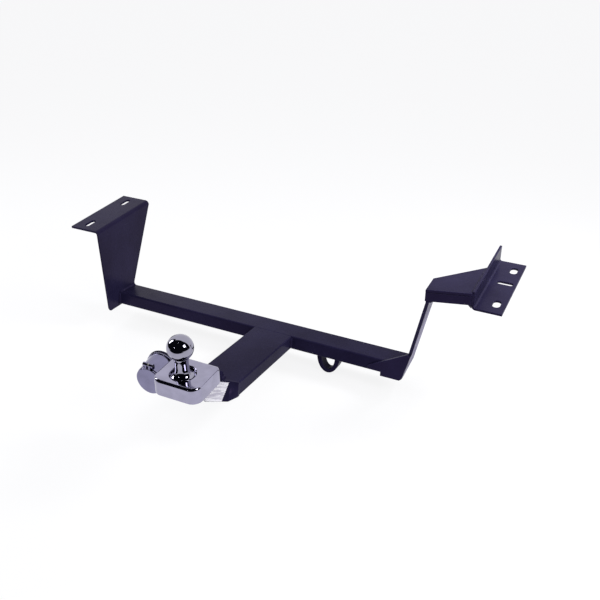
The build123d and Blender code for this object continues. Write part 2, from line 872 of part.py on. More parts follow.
pieces = {
    "cross_beam": cross_beam,
    "tongue": tongue,
    "tongue_nose": tongue_nose,
    "identification_label": identification_label,
    "left_bracket": left_bracket,
    "right_flange_bracket": right_flange_bracket,
    "right_bar": right_bar,
    "right_top_plate": right_top_plate,
    "right_arm": right_arm,
    "right_gusset": right_gusset,
    "safety_chain_loop": safety_chain_loop,
    "riser": riser,
    "ball_plate": ball_plate,
    "tow_ball": tow_ball,
    "flat_washer": flat_washer,
    "spring_washer": spring_washer,
    "ball_nut": ball_nut,
    "chrome_cover": chrome_cover,
    "tongue_weld": tongue_weld,
    "left_web_weld": left_web_weld,
    "riser_weld": riser_weld,
    "socket_housing": socket_housing,
    "socket_lid": socket_lid,
    "lid_seal": lid_seal,
    "lid_hinge_pin": hinge_pin,
    "lid_spring": lid_spring,
    "socket_insert": socket_insert,
    "contact_pins": contact_pins,
    "terminal_screws": terminal_screws,
    "socket_gasket": socket_gasket,
    "cable_gland": cable_gland,
    "socket_bracket": socket_bracket,
    "socket_screws": socket_screws,
    "bracket_screws": bracket_screws,
}

for name, make in pieces.items():
    save(make(), name)
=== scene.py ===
import math
import random

import bmesh
import bpy
from mathutils import Matrix, Vector


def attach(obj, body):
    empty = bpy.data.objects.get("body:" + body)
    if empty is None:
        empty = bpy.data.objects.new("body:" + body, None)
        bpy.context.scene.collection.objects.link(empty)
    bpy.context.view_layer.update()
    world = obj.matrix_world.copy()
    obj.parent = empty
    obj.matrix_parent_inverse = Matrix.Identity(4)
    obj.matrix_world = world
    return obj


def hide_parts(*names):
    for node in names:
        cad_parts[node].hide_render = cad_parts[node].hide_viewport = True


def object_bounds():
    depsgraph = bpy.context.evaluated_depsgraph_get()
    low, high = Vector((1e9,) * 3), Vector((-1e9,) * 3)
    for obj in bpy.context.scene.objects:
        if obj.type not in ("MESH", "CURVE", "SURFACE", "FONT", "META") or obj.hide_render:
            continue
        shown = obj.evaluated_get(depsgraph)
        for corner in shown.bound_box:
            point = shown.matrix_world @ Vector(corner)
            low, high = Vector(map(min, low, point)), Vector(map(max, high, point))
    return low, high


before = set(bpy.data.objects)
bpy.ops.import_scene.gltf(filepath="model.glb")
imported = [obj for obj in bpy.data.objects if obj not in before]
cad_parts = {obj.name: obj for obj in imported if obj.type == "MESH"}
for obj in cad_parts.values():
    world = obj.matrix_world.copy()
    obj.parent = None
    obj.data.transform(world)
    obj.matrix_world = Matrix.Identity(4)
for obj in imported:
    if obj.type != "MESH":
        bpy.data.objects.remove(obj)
cad_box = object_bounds()
scene = bpy.context.scene
chance = random.Random(11)
MM = 0.001
SIDES = (("left", -1), ("right", 1))

# Sizes of the CAD model in millimetres, with places from the centre of the coupling ball, but those of
# the riser's foot and the chain loop's front backwards from the beam's front

BEAM_FRONT = 347.5
BEAM_TOP = -169.2
BEAM_TILT = math.radians(7.0)
BEAM_W = 61.0
BEAM_H = 31.0
BEAM_LEFT = -420.3
BEAM_BOTTOM = BEAM_TOP - BEAM_H * math.cos(BEAM_TILT)

TONGUE_HALF = 47.25
TONGUE_L = 231.0
RISER_HALF = 10.0
RISER_FRONT = -242.0
RISER_BACK = -225.0

FLANGE_TOP = 12.4
BRACKET_T = 4.8
LEG_X = 444.4
LEG_INNER = LEG_X - BRACKET_T
LEG_FRONT = BEAM_FRONT - 12.0
ARM_FOOT_X = 310.7
ARM_T = 7.0
ARM_ANGLE = math.radians(13.8)
ARM_LEAN = math.tan(ARM_ANGLE)
BAR_BOTTOM = 19.0
BAR_TOP = 39.0
BAR_FRONT = BEAM_FRONT - 38.0
BAR_W = 50.0
BAR_LEFT = 354.9
BAR_SKEW = 22.0
TOP_PLATE_TOP = 45.0
TOP_PLATE_BACK = BEAM_FRONT + 98.0
LOOP_X = 134.0
LOOP_HALF = 27.0
LOOP_FRONT = 12.0
LOOP_BAR_W = 24.0

COVER_LEFT = 47.0
COVER_RIGHT = 52.0
COVER_FRONT = -38.2
COVER_BACK = 48.0
COVER_TOP = -56.0
COVER_BOTTOM = -89.9
COVER_WALL = 2.2
COVER_FRONT_R = 20.0
COVER_BACK_R = 8.0
COVER_TOP_R = 6.5
RECESS_R = 25.0
RECESS_LIP_R = 3.0
RECESS_FLOOR = -66.0
RECESS_FLOOR_R = 1.5
SHANK_HOLE_R = 11.5

BALL_R = 25.0
NECK_R = 14.25
BASE_R = 22.0
SHANK_R = 11.0
THREAD_TOP = -82.0
THREAD_PITCH = 1.5
THREAD_TURNS = 18
THREAD_DEPTH = 0.9
SHANK_END = -109.3

SOCKET_X = -84.9
SOCKET_Z = -104.5
SOCKET_FRONT = 8.5
SOCKET_L = 44.5
BORE_R = 24.5
BORE_L = 20.0
CHAMBER_R = 20.0
CABLE_R = 9.0
BACK_WALL = 4.0
RIM_R = 35.0
HINGE_Y = SOCKET_FRONT + 2.0
HINGE_Z = SOCKET_Z + 34.6
HINGE_R = 4.0


# Places and directions

def mm(x, y, z):
    return Vector((x, y, z)) * MM


def on_beam(x, y, z):
    """A point given in the tilted beam's own frame: y backwards from its front, z up from its top."""
    return mm(x, BEAM_FRONT + y * math.cos(BEAM_TILT) + z * math.sin(BEAM_TILT),
              BEAM_TOP - y * math.sin(BEAM_TILT) + z * math.cos(BEAM_TILT))


def beam_way(x, y, z):
    """A direction given in the tilted beam's own frame."""
    return on_beam(x, y, z) - on_beam(0, 0, 0)


def arm_x(z):
    """The outer face of the leaning arm at a height."""
    return ARM_FOOT_X + ARM_LEAN * (z - BEAM_BOTTOM)


def bar_front_y(x):
    """The front of the box arm, which is cut askew."""
    return BAR_FRONT + BAR_SKEW * (x - BAR_LEFT) / (LEG_INNER - BAR_LEFT)


ARM_INNER = arm_x(BEAM_TOP) - ARM_T / math.cos(ARM_ANGLE)
LEFT, RIGHT = Vector((-1, 0, 0)), Vector((1, 0, 0))
FRONT, UP, DOWN = Vector((0, -1, 0)), Vector((0, 0, 1)), Vector((0, 0, -1))
ALONG_ARM = Vector((ARM_LEAN, 0, 1)).normalized()
BEAM_BACKWARD, BEAM_UPWARD = beam_way(0, 1, 0), beam_way(0, 0, 1)


# Camera at the photograph's place and angle

AZIMUTH = math.radians(25.30)
ELEVATION = math.radians(30.47)
ROLL = math.radians(0.16)
CAMERA_PLACE = (0.7115, -0.9604, 0.7905)
LENS = 47.22
SENSOR_W = 36.0
SHIFT_X, SHIFT_Y = -0.0163, -0.0018
CLIP_START, CLIP_END = 0.05, 60.0


def make_camera():
    ahead = Vector((-math.sin(AZIMUTH) * math.cos(ELEVATION),
                    math.cos(AZIMUTH) * math.cos(ELEVATION), -math.sin(ELEVATION)))
    right = Vector((math.cos(AZIMUTH), math.sin(AZIMUTH), 0))
    down = ahead.cross(right)
    turned_right = math.cos(ROLL) * right + math.sin(ROLL) * down
    turned_down = -math.sin(ROLL) * right + math.cos(ROLL) * down
    axes = Matrix((turned_right, -turned_down, -ahead)).transposed()
    data = bpy.data.cameras.new("camera")
    data.lens = LENS
    data.sensor_width = SENSOR_W
    data.shift_x, data.shift_y = SHIFT_X, SHIFT_Y
    data.clip_start, data.clip_end = CLIP_START, CLIP_END
    camera = bpy.data.objects.new("camera", data)
    camera.matrix_world = Matrix.Translation(CAMERA_PLACE) @ axes.to_4x4()
    scene.collection.objects.link(camera)
    scene.camera = camera


make_camera()


# Shader nodes

MIX_SHARE, MIX_FIRST, MIX_SECOND, MIX_RESULT = 0, 6, 7, 2
WHITE = (1.0, 1.0, 1.0)


def opaque(colour):
    return (*colour, 1.0)


def scaled(colour, factor):
    return tuple(factor * c for c in colour)


class Nodes:
    """A short way to write the nodes of a material or of the world."""

    def __init__(self, owner, output="OutputMaterial"):
        owner.use_nodes = True
        self.owner = owner
        self.tree = owner.node_tree
        self.tree.nodes.clear()
        self.output = self.add(output)

    def feed(self, socket, value):
        """Links a socket to another one, or sets it to a plain value."""
        if isinstance(value, bpy.types.NodeSocket):
            self.tree.links.new(value, socket)
        else:
            socket.default_value = value

    def add(self, kind, values=(), **settings):
        node = self.tree.nodes.new("ShaderNode" + kind)
        for key, value in settings.items():
            setattr(node, key, value)
        for key, value in dict(values).items():
            self.feed(node.inputs[key], value)
        return node

    def out(self, kind, values=(), **settings):
        """Adds a node and gives its first output."""
        return self.add(kind, values, **settings).outputs[0]

    def end(self, shader):
        self.tree.links.new(shader, self.output.inputs[0])

    def place(self):
        return self.add("TexCoord").outputs["Object"]

    def noise(self, scale, detail=4.0, roughness=0.55, stretch=None):
        place = self.place()
        if stretch:
            place = self.out("Mapping", {"Vector": place, "Scale": stretch})
        return self.out("TexNoise", {"Vector": place, "Scale": scale, "Detail": detail,
                                     "Roughness": roughness})

    def spread(self, value, low, high, low_out=0.0, high_out=1.0):
        return self.out("MapRange", {0: value, 1: low, 2: high, 3: low_out, 4: high_out})

    def patches(self, scale, detail=4.0, roughness=0.55):
        """Soft patches from nought to one."""
        return self.spread(self.noise(scale, detail, roughness), 0.35, 0.65)

    def uneven(self, scale, detail, low_out, high_out):
        """A value that wanders between two others, such as a roughness."""
        return self.spread(self.noise(scale, detail), 0.3, 0.7, low_out, high_out)

    def mix(self, share, first, second):
        node = self.add("Mix", data_type="RGBA")
        self.feed(node.inputs[MIX_SHARE], share)
        for place, value in ((MIX_FIRST, first), (MIX_SECOND, second)):
            plain = not isinstance(value, bpy.types.NodeSocket)
            self.feed(node.inputs[place], opaque(value) if plain else value)
        return node.outputs[MIX_RESULT]

    def bump(self, height, distance, strength, under=None):
        values = {"Height": height, "Distance": distance, "Strength": strength}
        if under:
            values["Normal"] = under
        return self.out("Bump", values)

    def larger(self, first, second):
        return self.out("Math", {0: first, 1: second}, operation="MAXIMUM")

    def shown_white(self):
        """One for rays that the camera, a gloss or a glass sends, and nought for the rest."""
        path = self.add("LightPath").outputs
        seen = self.larger(path["Is Camera Ray"], path["Is Glossy Ray"])
        return self.larger(seen, path["Is Transmission Ray"])


# Materials

DARK_PAINT = (0.0084, 0.0070, 0.0215)
LIGHT_PAINT = (0.0128, 0.0110, 0.0322)
WORN_PAINT = (0.075, 0.070, 0.105)
PAINT_SHEEN = (1.0, 0.6, 1.4)
PAINT_HAZE = (0.62, 0.54, 1.0)
PAINT_GLOSS = 1.145
FADE_FROM_X, FADE_TO_X = -0.36, 0.10
COVER_CHROME = (0.372, 0.358, 0.482)
BALL_CHROME = (0.35, 0.34, 0.43)
SOCKET_CHROME = (0.24, 0.23, 0.36)
ZINC_DARK, ZINC_LIGHT = (0.42, 0.43, 0.45), (0.60, 0.60, 0.57)
BRASS_DARK, BRASS_LIGHT = (0.72, 0.50, 0.20), (0.85, 0.64, 0.30)
PLASTIC_DARK, PLASTIC_LIGHT = (0.010, 0.010, 0.012), (0.018, 0.018, 0.021)
RUBBER_DARK, RUBBER_LIGHT = (0.012, 0.012, 0.013), (0.024, 0.024, 0.025)
FILM_CLEAN, FILM_SOILED, FILM_STREAK = (0.80, 0.79, 0.82), (0.60, 0.58, 0.64), (0.40, 0.38, 0.46)
MATERIALS = {}


def new_nodes(name):
    return Nodes(bpy.data.materials.new(name))


def keep(name, n, values):
    """Ends a material in a shader with these values and keeps it under its name."""
    n.end(n.out("BsdfPrincipled", values))
    MATERIALS[name] = n.owner


def painted_steel(name, wear, dark=DARK_PAINT, light=LIGHT_PAINT, gloss=PAINT_GLOSS, haze=0.0, fade=0.0):
    """Satin paint on rolled steel: soft tone changes, orange peel, dust and scuffs.

    The gloss, a refractive index, falls by the fade from the object's left to its middle."""
    n = new_nodes(name)
    colour = n.mix(n.patches(scale=9.0, detail=3.0), dark, light)
    dust = n.spread(n.noise(scale=140.0, detail=6.0, roughness=0.7), 0.56, 0.72, high_out=0.35)
    colour = n.mix(dust, colour, scaled(light, 1.5))
    scuffs = n.noise(scale=260.0, detail=5.0, roughness=0.75, stretch=(1.0, 0.25, 0.6))
    colour = n.mix(n.spread(scuffs, 0.60, 0.70, high_out=wear), colour, WORN_PAINT)
    rough = n.uneven(scale=55.0, detail=4.0, low_out=0.22, high_out=0.36)
    peel = n.bump(n.noise(scale=420.0, detail=2.0), distance=0.00005, strength=0.35)
    roll = n.bump(n.noise(scale=26.0, detail=2.0), distance=0.0006, strength=0.25, under=peel)
    if fade:
        across = n.out("SeparateXYZ", {0: n.place()})
        gloss = n.spread(across, FADE_FROM_X, FADE_TO_X, gloss, gloss - fade)
    keep(name, n, {"Base Color": colour, "Roughness": rough, "Normal": roll, "IOR": gloss,
                   "Specular Tint": opaque(PAINT_SHEEN), "Sheen Weight": haze,
                   "Sheen Tint": opaque(PAINT_HAZE), "Sheen Roughness": 0.35})


def chrome(name, tint, rough_low, rough_high, wave):
    """Bright plate with a faint wave, fine haze and hairline marks."""
    n = new_nodes(name)
    haze = n.noise(scale=38.0, detail=5.0, roughness=0.6)
    hairlines = n.noise(scale=700.0, detail=2.0, roughness=0.5, stretch=(1.0, 0.12, 1.0))
    colour = n.mix(n.spread(haze, 0.35, 0.7), tint, scaled(tint, 0.82))
    rough = n.out("Math", {0: n.spread(haze, 0.35, 0.7, rough_low, rough_high),
                           1: n.spread(hairlines, 0.55, 0.75, high_out=0.05)}, operation="ADD")
    skin = n.bump(n.noise(scale=24.0, detail=1.0), distance=wave, strength=0.6)
    skin = n.bump(hairlines, distance=0.000008, strength=0.3, under=skin)
    keep(name, n, {"Base Color": colour, "Roughness": rough, "Normal": skin, "Metallic": 1.0})


def zinc(name):
    """Dull plated steel with gray and yellowish blotches."""
    n = new_nodes(name)
    colour = n.mix(n.patches(scale=120.0, detail=5.0, roughness=0.65), ZINC_DARK, ZINC_LIGHT)
    rough = n.uneven(scale=300.0, detail=3.0, low_out=0.28, high_out=0.48)
    skin = n.bump(n.noise(scale=900.0, detail=2.0), distance=0.00003, strength=0.4)
    keep(name, n, {"Base Color": colour, "Roughness": rough, "Normal": skin, "Metallic": 1.0})


def brass(name):
    """Turned brass that has darkened in places."""
    n = new_nodes(name)
    colour = n.mix(n.patches(scale=300.0), BRASS_DARK, BRASS_LIGHT)
    rough = n.uneven(scale=500.0, detail=3.0, low_out=0.22, high_out=0.40)
    skin = n.bump(n.noise(scale=1200.0, detail=2.0), distance=0.00002, strength=0.4)
    keep(name, n, {"Base Color": colour, "Roughness": rough, "Normal": skin, "Metallic": 1.0})


def moulded(name, dark, light, rough_low, rough_high, grain):
    """Moulded plastic or rubber with a fine spark-eroded grain."""
    n = new_nodes(name)
    colour = n.mix(n.patches(scale=60.0), dark, light)
    rough = n.uneven(scale=240.0, detail=3.0, low_out=rough_low, high_out=rough_high)
    skin = n.bump(n.noise(scale=1500.0, detail=3.0), distance=grain, strength=0.5)
    keep(name, n, {"Base Color": colour, "Roughness": rough, "Normal": skin})


def film(name):
    """Matt label film that lies a little unevenly, with soiled patches and gray streaks."""
    n = new_nodes(name)
    soil = n.spread(n.noise(scale=90.0, detail=6.0, roughness=0.7), 0.48, 0.75, high_out=0.6)
    streaks = n.noise(scale=80.0, detail=4.0, roughness=0.6, stretch=(0.4, 0.4, 2.6))
    colour = n.mix(soil, FILM_CLEAN, FILM_SOILED)
    colour = n.mix(n.spread(streaks, 0.48, 0.62, high_out=0.8), colour, FILM_STREAK)
    rough = n.uneven(scale=150.0, detail=3.0, low_out=0.34, high_out=0.55)
    creases = n.noise(scale=70.0, detail=3.0, roughness=0.6, stretch=(1.0, 0.4, 2.2))
    skin = n.bump(creases, distance=0.0012, strength=0.6)
    skin = n.bump(n.noise(scale=900.0, detail=2.0), distance=0.00002, strength=0.4, under=skin)
    keep(name, n, {"Base Color": colour, "Roughness": rough, "Normal": skin})


painted_steel("painted_steel", wear=0.10)
painted_steel("painted_tube", wear=0.10, gloss=1.15, fade=0.06)
painted_steel("painted_arm", wear=0.10, gloss=1.105, haze=0.22)
# Lighter paint on the rounded edges is a painted highlight along them; its heavier scuffs are real wear
painted_steel("edge_highlight_and_wear", wear=0.45, dark=LIGHT_PAINT, light=scaled(LIGHT_PAINT, 1.5))
painted_steel("painted_weld", wear=0.25)
chrome("chrome_plate", COVER_CHROME, rough_low=0.04, rough_high=0.09, wave=0.00004)
chrome("chrome_bright", BALL_CHROME, rough_low=0.02, rough_high=0.05, wave=0.00002)
chrome("chrome_socket", SOCKET_CHROME, rough_low=0.08, rough_high=0.14, wave=0.00005)
zinc("zinc_steel")
brass("contact_brass")
moulded("black_plastic", PLASTIC_DARK, PLASTIC_LIGHT, rough_low=0.35, rough_high=0.5, grain=0.00003)
moulded("black_rubber", RUBBER_DARK, RUBBER_LIGHT, rough_low=0.6, rough_high=0.8, grain=0.00006)
film("label_film")


# Shared ways to make and place a piece

LATHE_STEPS = 192
LATHE_JOIN = 1e-7
CAD_JOIN = 2e-6
CAD_SPECK = 1e-6
CAD_FLAT = math.radians(0.6)
SHARP_EDGE = math.radians(34)
BEAD_PITCH = 2.6
BEAD_SINK = 0.2
BEAD_STEPS = 8
ROUNDING_STEPS = 3


def settle(obj, body, nodes=()):
    """Lets a piece move with a body and take the place of CAD nodes."""
    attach(obj, body)
    if nodes:
        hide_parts(*nodes)


def dress(node, look):
    """Gives one of the materials to a CAD node that is shown as it is."""
    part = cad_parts[node]
    part.data.materials.clear()
    part.data.materials.append(MATERIALS[look])


def from_bmesh(name, bm, looks, degrees):
    """An object with the looks as its materials, and edges under so many degrees shaded smooth."""
    mesh = bpy.data.meshes.new(name)
    bmesh.ops.recalc_face_normals(bm, faces=bm.faces)
    bm.to_mesh(mesh)
    bm.free()
    mesh.shade_smooth()
    mesh.set_sharp_from_angle(angle=math.radians(degrees))
    obj = bpy.data.objects.new(name, mesh)
    scene.collection.objects.link(obj)
    for look in looks:
        mesh.materials.append(MATERIALS[look])
    return obj


def weigh_normals(obj, weight=50):
    """Keeps wide faces flat in the shading, so that only their rounded edges turn."""
    weights = obj.modifiers.new("normals", "WEIGHTED_NORMAL")
    weights.keep_sharp = True
    weights.weight = weight


def ring_mesh(bm, rings, looped=False):
    """Joins rings of equal length into a closed skin, by caps on its ends or in a loop."""
    made = [[bm.verts.new(point) for point in ring] for ring in rings]
    count = len(rings[0])
    for low, high in zip(made, made[1:] + made[:1] if looped else made[1:]):
        for i in range(count):
            j = (i + 1) % count
            bm.faces.new((low[i], low[j], high[j], high[i]))
    if not looped:
        bm.faces.new(reversed(made[0]))
        bm.faces.new(made[-1])


def round_edges(bm, edges, width):
    return bmesh.ops.bevel(bm, geom=edges, offset=width * MM, segments=ROUNDING_STEPS, profile=0.5,
                           affect="EDGES", clamp_overlap=True, offset_type="OFFSET")


def lathe(name, profile, axis, centre, look, degrees):
    """Turns an outline of (radius, height) round a Z or Y axis through centre, in millimetres.

    The outline closes on itself, or starts and ends on the axis."""
    starts_on_axis = profile[0][0] == 0
    sides = len(profile) - 1 if starts_on_axis else len(profile)
    bm = bmesh.new()
    columns = []
    for n in range(LATHE_STEPS):
        angle = 2 * math.pi * n / LATHE_STEPS
        column = []
        for radius, height in profile:
            a, b = radius * math.cos(angle), radius * math.sin(angle)
            point = (a, b, height) if axis == "Z" else (a, height, -b)
            column.append(bm.verts.new((Vector(point) + Vector(centre)) * MM))
        columns.append(column)
    for n, here in enumerate(columns):
        there = columns[(n + 1) % LATHE_STEPS]
        for i in range(sides):
            j = (i + 1) % len(profile)
            bm.faces.new((here[i], here[j], there[j], there[i]))
    bmesh.ops.remove_doubles(bm, verts=bm.verts, dist=LATHE_JOIN)
    return from_bmesh(name, bm, [look], degrees)


def on_circle(centre, radius, degrees):
    angle = math.radians(degrees)
    return centre[0] + radius * math.cos(angle), centre[1] + radius * math.sin(angle)


def arc(centre, radius, start, end, steps):
    """Points of (radius, height) along an arc, with its angles in degrees."""
    return [on_circle(centre, radius, start + (end - start) * n / steps) for n in range(steps + 1)]


def quarter(steps):
    """The angles of a quarter turn, both ends among them."""
    return [math.radians(90 * k / steps) for k in range(steps + 1)]


def joined_mesh(node):
    """A CAD node's mesh with its split corners joined and its flat faces whole."""
    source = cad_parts[node].data
    mesh = bpy.data.meshes.new(node + "_source")
    mesh.from_pydata([v.co.copy() for v in source.vertices], [],
                     [tuple(p.vertices) for p in source.polygons])
    bm = bmesh.new()
    bm.from_mesh(mesh)
    bpy.data.meshes.remove(mesh)
    bmesh.ops.remove_doubles(bm, verts=bm.verts, dist=CAD_JOIN)
    bmesh.ops.dissolve_degenerate(bm, edges=bm.edges, dist=CAD_SPECK)
    bmesh.ops.dissolve_limit(bm, angle_limit=CAD_FLAT, verts=bm.verts, edges=bm.edges)
    return bm


def rounded(name, node, width, look="painted_steel", edge_look="edge_highlight_and_wear", spared=None):
    """A piece with a CAD node's shape and its sharp edges rounded off by width millimetres. The rounding
    takes edge_look, by default a lighter, more scuffed paint: a painted highlight along the edges, with real
    wear.
    """
    bm = joined_mesh(node)
    sharp = [edge for edge in bm.edges if len(edge.link_faces) == 2
             and edge.calc_face_angle(0) > SHARP_EDGE and not (spared and spared(edge))]
    result = round_edges(bm, sharp, width)
    # The rounded faces take the edge material, whose lighter paint is a painted highlight along the edges
    if edge_look:
        for face in result["faces"]:
            face.material_index = 1
    obj = from_bmesh(name, bm, [look, edge_look] if edge_look else [look], degrees=50)
    weigh_normals(obj, weight=80)
    settle(obj, "hitch", [node])


def weld(name, start, end, way_a, way_b, size=5.0, bulge=0.30, nodes=()):
    """A rippled bead in the inner corner between two faces that run off along way_a and way_b.

    Its size is the reach along each face. Each ripple swells towards its end, the whole seam wanders
    a little, and both ends taper off."""
    start, end = Vector(start), Vector(end)
    a, b = Vector(way_a).normalized(), Vector(way_b).normalized()
    along = end - start
    length = along.length / MM
    steps = max(6, int(along.length / (BEAD_PITCH * MM / 4)))
    drift = chance.uniform(0, 6.28)
    rings = []
    for n in range(steps + 1):
        travelled = length * n / steps
        phase = (travelled / BEAD_PITCH) % 1.0
        ripple = 0.90 + 0.13 * math.sqrt(phase) + 0.05 * math.sin(travelled * 0.31 + drift)
        taper = min(1.0, 0.45 + 1.1 * min(travelled, length - travelled) / size)
        reach = size * ripple * taper * MM
        corner = start + along * (n / steps) - (a + b) * BEAD_SINK * MM
        ring = [corner]
        for k, turn in enumerate(quarter(BEAD_STEPS)):
            flat = a * (1 - k / BEAD_STEPS) + b * (k / BEAD_STEPS)
            crown = (a + b).normalized() * bulge * math.sin(2 * turn)
            ring.append(corner + (flat + crown) * reach)
        rings.append(ring)
    bm = bmesh.new()
    ring_mesh(bm, rings)
    settle(from_bmesh(name, bm, ["painted_weld"], degrees=60), "hitch", nodes)


def spatter(name, centre, spread, count, size):
    """Small frozen drops of weld metal, each sunk in the surface under it."""
    bm = bmesh.new()
    for _ in range(count):
        place = Vector([c + chance.uniform(-s, s) for c, s in zip(centre, spread)]) * MM
        drop = bmesh.ops.create_icosphere(bm, subdivisions=2, radius=chance.uniform(0.6, 1.0) * size * MM)
        squat = Matrix.Diagonal((1.0, chance.uniform(0.8, 1.2), chance.uniform(0.5, 0.8), 1.0))
        bmesh.ops.transform(bm, matrix=Matrix.Translation(place) @ squat, verts=drop["verts"])
    settle(from_bmesh(name, bm, ["painted_weld"], degrees=80), "hitch")


# Steel parts

def at_tongue_joint(edge):
    """Whether an edge of the nose lies on its joint with the tongue, which stays sharp."""
    joint, back, reach = on_beam(0, -TONGUE_L, 0), BEAM_BACKWARD.normalized(), 0.8 * MM
    return all((v.co - joint).dot(back) > -reach for v in edge.verts)


dress("cross_beam", "painted_tube")
dress("tongue", "painted_tube")
rounded("left_bracket_plate", "left_bracket", 0.9)
rounded("right_flange_plate", "right_flange_bracket", 0.9)
rounded("right_box_bar", "right_bar", 1.2)
rounded("right_cover_plate", "right_top_plate", 0.9)
rounded("right_arm_plate", "right_arm", 0.9, look="painted_arm")
rounded("gusset_plate", "right_gusset", 0.9)
rounded("chain_loop_bar", "safety_chain_loop", 1.3, look="painted_tube")
rounded("riser_plate", "riser", 0.8)
rounded("ball_plate_steel", "ball_plate", 0.8)
rounded("nose_shell", "tongue_nose", 1.4, spared=at_tongue_joint)


# Welds

def weld_tongue():
    """Beads up both sides of the tongue, against the beam's front."""
    margin = 3
    for name, side, nodes in (("right", 1, ["tongue_weld"]), ("left", -1, [])):
        x = side * TONGUE_HALF
        weld("tongue_weld_" + name, on_beam(x, 0, margin - BEAM_H), on_beam(x, 0, -margin),
             side * RIGHT, -BEAM_BACKWARD, nodes=nodes)


def weld_riser():
    """Beads along both sides of the riser's foot, on the tongue."""
    for name, side, nodes in (("right", 1, ["riser_weld"]), ("left", -1, [])):
        x = side * RISER_HALF
        weld("riser_weld_" + name, on_beam(x, RISER_FRONT, 0), on_beam(x, RISER_BACK, 0),
             side * RIGHT, BEAM_UPWARD, nodes=nodes)


def weld_left_web():
    """Beads round the beam's left end, on the bracket's web."""
    x, margin = BEAM_LEFT, 1.5
    weld("web_weld_top", on_beam(x, margin, 0), on_beam(x, BEAM_W - margin, 0),
         RIGHT, BEAM_UPWARD, nodes=["left_web_weld"])
    weld("web_weld_front", on_beam(x, 0, -margin), on_beam(x, 0, margin - BEAM_H), RIGHT, -BEAM_BACKWARD)
    weld("web_weld_back", on_beam(x, BEAM_W, margin - BEAM_H), on_beam(x, BEAM_W, -margin),
         RIGHT, BEAM_BACKWARD)


def weld_arm_foot():
    """A bead along the arm's inner face on the beam's top, and three round the gusset."""
    margin, back_shift, proud = 4, 1.5, 0.6
    weld("arm_weld_top", on_beam(ARM_INNER, margin, 0), on_beam(ARM_INNER - back_shift, BEAM_W - margin, 0),
         LEFT, ALONG_ARM, size=4.5)
    top_start, top_end = ARM_FOOT_X - 45, ARM_INNER - margin
    weld("gusset_weld_top", on_beam(top_start, proud, 0), on_beam(top_end, proud, 0),
         BEAM_BACKWARD, BEAM_UPWARD, size=3.0)
    arm_start, arm_end = on_beam(ARM_INNER + 0.5, 0, 3), on_beam(ARM_INNER + 6.4, 0, 27)
    weld("gusset_weld_arm", arm_start, arm_end, LEFT, BEAM_BACKWARD, size=3.5)
    toe_start, toe_end = ARM_FOOT_X - 47, ARM_FOOT_X - 8
    weld("gusset_weld_front", on_beam(toe_start, 0, -BEAM_H), on_beam(toe_end, 0, -BEAM_H),
         BEAM_BACKWARD, -BEAM_UPWARD, size=3.5)


def weld_box_arm():
    """Beads where the box arm and its top plate meet the leaning arm and the right leg."""
    x, margin = arm_x(BAR_BOTTOM), 3
    weld("bar_weld_arm", mm(x, BAR_FRONT + margin, BAR_BOTTOM), mm(x, BAR_FRONT + BAR_W - margin, BAR_BOTTOM),
         RIGHT, -ALONG_ARM, size=4.0)
    x, z = LEG_INNER, TOP_PLATE_TOP - 2.8
    weld("plate_weld_leg", mm(x, LEG_FRONT + 1, z), mm(x, TOP_PLATE_BACK, z), LEFT, UP, size=4.5)
    weld("bar_weld_leg", mm(x, LEG_FRONT, BAR_BOTTOM - 1), mm(x, LEG_FRONT, TOP_PLATE_TOP - 1),
         RIGHT, FRONT, size=4.2)
    under_front, under_back = LEG_FRONT - 3.5, LEG_FRONT + 45
    weld("bar_weld_under", mm(x, under_front, BAR_BOTTOM), mm(x, under_back, BAR_BOTTOM),
         LEFT, DOWN, size=10.0, bulge=0.05)
    seam_left, seam_right, proud = 358, 434, 0.6
    start, end = (mm(x, bar_front_y(x) + proud, BAR_TOP) for x in (seam_left, seam_right))
    weld("plate_weld_bar", start, end, FRONT, DOWN, size=1.6, bulge=0.2)


def weld_chain_loop():
    """Beads on the outside and the front of both feet of the loop, under the beam."""
    near, far = LOOP_FRONT + 1, LOOP_FRONT + LOOP_BAR_W - 1
    for name, side in SIDES:
        foot = LOOP_X + side * LOOP_HALF
        weld("loop_weld_" + name, on_beam(foot, near, -BEAM_H), on_beam(foot, far, -BEAM_H),
             side * RIGHT, -BEAM_UPWARD, size=4.0)
        inner, outer = foot - side * 7.5, foot - side * 0.5
        weld("loop_weld_front_" + name, on_beam(inner, LOOP_FRONT, -BEAM_H),
             on_beam(outer, LOOP_FRONT, -BEAM_H), -BEAM_BACKWARD, -BEAM_UPWARD, size=3.0)


weld_tongue()
weld_riser()
weld_left_web()
weld_arm_foot()
weld_box_arm()
weld_chain_loop()
spatter("spatter_plate", centre=(LEG_INNER - 6, BAR_FRONT + 25, TOP_PLATE_TOP - 0.4),
        spread=(3.5, 3.5, 0.3), count=9, size=1.3)
spatter("spatter_flange", centre=(LEG_X + 5, LEG_FRONT + 7, FLANGE_TOP - 0.2),
        spread=(3.0, 5.0, 0.1), count=8, size=1.3)


# Chrome cover: rounded plan, soft top edge, flat top and a round recess for the ball

COVER_STEPS = 256
TINY = 1e-9


